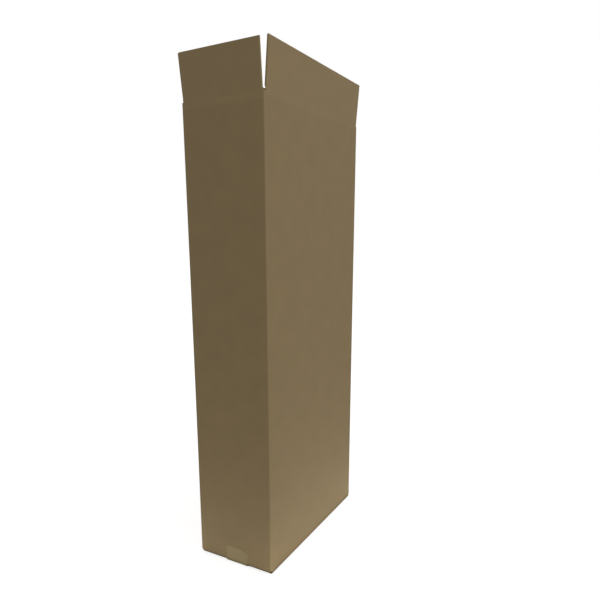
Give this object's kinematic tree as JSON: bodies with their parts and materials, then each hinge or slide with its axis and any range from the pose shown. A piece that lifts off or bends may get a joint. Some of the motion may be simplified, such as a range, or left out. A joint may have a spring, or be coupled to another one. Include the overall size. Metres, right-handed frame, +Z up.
{
  "type": "tall cardboard box",
  "caption": "Tall, narrow slotted carton of plain corrugated board, set up with its top flaps open and its bottom flaps folded and taped.",
  "frame": {"origin": "on the floor under the middle of the box, on the underside of the bottom tape", "axes": "+Z up; X along the wide walls; Y along the narrow walls; the front wall faces -Y"},
  "size_m": [0.3761, 0.175, 0.9068],
  "materials": {
    "kraft_board": "plain kraft liner, matt",
    "packing_tape": "tan film tape, low gloss"
  },
  "bodies": {
    "carton": {"box_body": "kraft_board", "bottom_tape": "packing_tape"},
    "front_flap": {"top_flap_front": "kraft_board"},
    "back_flap": {"top_flap_back": "kraft_board"},
    "left_flap": {"top_flap_left": "kraft_board"},
    "right_flap": {"top_flap_right": "kraft_board"}
  },
  "joints": [
    {"name": "front_flap_fold", "type": "hinge", "parent": "carton", "child": "front_flap", "pos_m": [0, -0.08115, 0.8333], "axis": [1, 0, 0], "range_deg": [-94.7, 165.3]},
    {"name": "back_flap_fold", "type": "hinge", "parent": "carton", "child": "back_flap", "pos_m": [0, 0.08115, 0.8333], "axis": [-1, 0, 0], "range_deg": [-95.5, 164.5]},
    {"name": "left_flap_fold", "type": "hinge", "parent": "carton", "child": "left_flap", "pos_m": [-0.18115, 0, 0.83], "axis": [0, -1, 0], "range_deg": [-95, 165]},
    {"name": "right_flap_fold", "type": "hinge", "parent": "carton", "child": "right_flap", "pos_m": [0.18115, 0, 0.83], "axis": [0, 1, 0], "range_deg": [-96, 164]}
  ]
}
